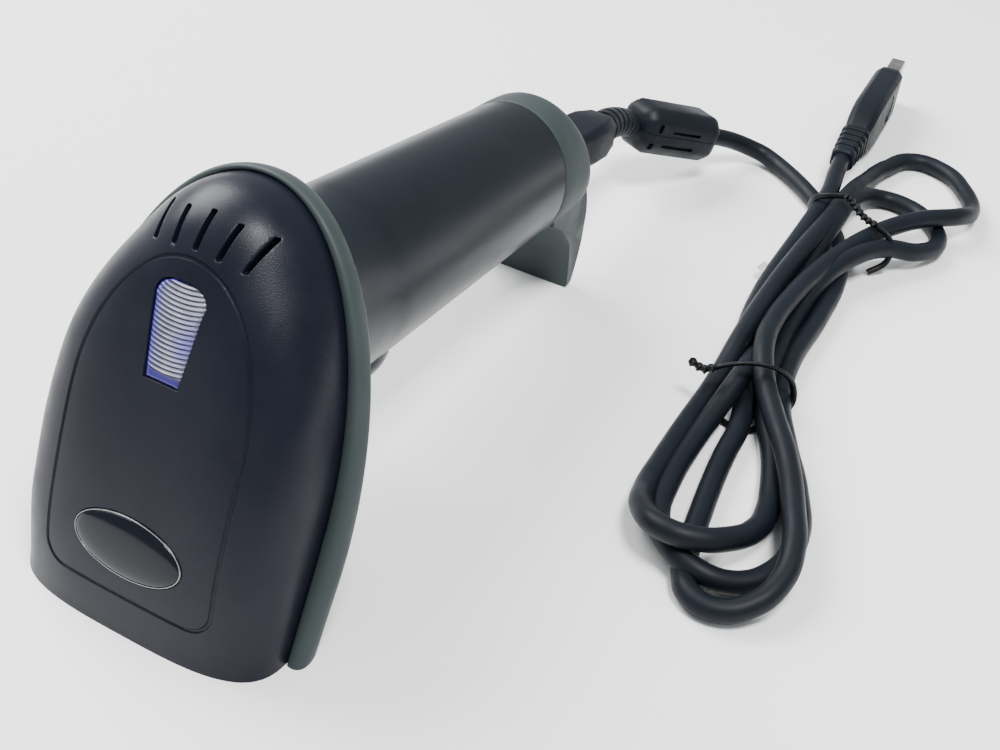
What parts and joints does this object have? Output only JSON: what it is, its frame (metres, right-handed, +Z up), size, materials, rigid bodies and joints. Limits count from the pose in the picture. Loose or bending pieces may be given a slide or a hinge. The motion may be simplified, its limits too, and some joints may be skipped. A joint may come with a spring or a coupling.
{
  "type": "handheld barcode scanner",
  "caption": "Gun-shaped handheld barcode scanner with a shield-shaped head, rubber rim, light window, round handle with a hinged trigger, end cap with a toe, and a USB lead tied in a hank.",
  "frame": {"origin": "on the surface it stands on, under the middle of the scanner's length and width", "axes": "+X across the scanner, +Y from the nose to the end of the handle, +Z up"},
  "size_m": [0.1335, 0.3169, 0.0747],
  "materials": {
    "black_grained": "fine spark-eroded grain, semi-gloss",
    "black_satin": "smooth satin moulding",
    "grey_green_rubber": "soft matt overmould",
    "lens_white": "milky clear plastic, ribbed across",
    "window_red": "polished",
    "badge_black": "polished dome, blank",
    "chrome_trim": "polished",
    "steel": "plain",
    "brass": "plain",
    "clear_glass": "polished",
    "board_green": "solder mask",
    "chip_black": "moulded epoxy",
    "nylon_white": "plain",
    "cell_wrap": "shrink sleeve",
    "cord_black": "satin soft PVC",
    "tie_black": "coated wire"
  },
  "bodies": {
    "scanner": {"head_cover": "black_grained", "indicator_lens": "lens_white", "badge_rim": "chrome_trim", "badge_plate": "badge_black", "bumper_rim": "grey_green_rubber", "engine_chassis": "steel", "laser_barrel": "brass", "collector_lens": "clear_glass", "photodiode": "chip_black", "mirror_coil": "brass", "indicator_board": "board_green", "indicator_led_1": "nylon_white", "indicator_led_2": "nylon_white", "cover_screw_1": "steel", "cover_screw_2": "steel", "main_board": "board_green", "processor_chip": "chip_black", "memory_chip": "chip_black", "radio_module": "steel", "buzzer": "chip_black", "battery_cell": "cell_wrap", "contact_front": "brass", "contact_rear": "brass", "cable_socket": "steel", "socket_board": "board_green", "cap_screw_1": "steel", "cap_screw_2": "steel", "body_shell": "black_satin", "grip_cover": "black_satin", "end_cap": "grey_green_rubber", "nose_bezel": "black_satin", "scan_window": "window_red", "trigger_pin": "steel", "trigger_spring": "steel", "switch_body": "chip_black", "cable_boot": "cord_black", "cable_relief": "cord_black", "cable_lead": "cord_black", "ferrite_case_upper": "cord_black", "ferrite_case_lower": "cord_black", "cable_hank": "cord_black", "tie_lower": "tie_black", "tie_upper": "tie_black", "usb_plug_body": "cord_black", "usb_plug_shell": "steel", "usb_plug_tongue": "nylon_white"},
    "trigger": {"trigger": "grey_green_rubber"},
    "switch": {"switch_plunger": "nylon_white"},
    "mirror": {"scan_mirror": "clear_glass"}
  },
  "joints": [
    {"name": "trigger", "type": "hinge", "parent": "scanner", "child": "trigger", "pos_m": [0, -0.0298, 0.0272], "axis": [1, 0, 0], "range_deg": [0, 7], "stiffness_Nm_per_rad": 0.1, "springref_deg": -8.59, "deforming": ["trigger_spring"]},
    {"name": "switch_plunger", "type": "slide", "parent": "scanner", "child": "switch", "axis": [0, 0, 1], "range_m": [0, 0.0013]},
    {"name": "scan_mirror", "type": "hinge", "parent": "scanner", "child": "mirror", "pos_m": [-0.006, -0.04654, 0.0208], "axis": [0, -0.915, 0.4035], "range_deg": [-10, 10], "stiffness_Nm_per_rad": 0.001}
  ],
  "couplings": [
    {"joint": "switch_plunger", "follows": "trigger", "m_per_rad": 0.01}
  ]
}
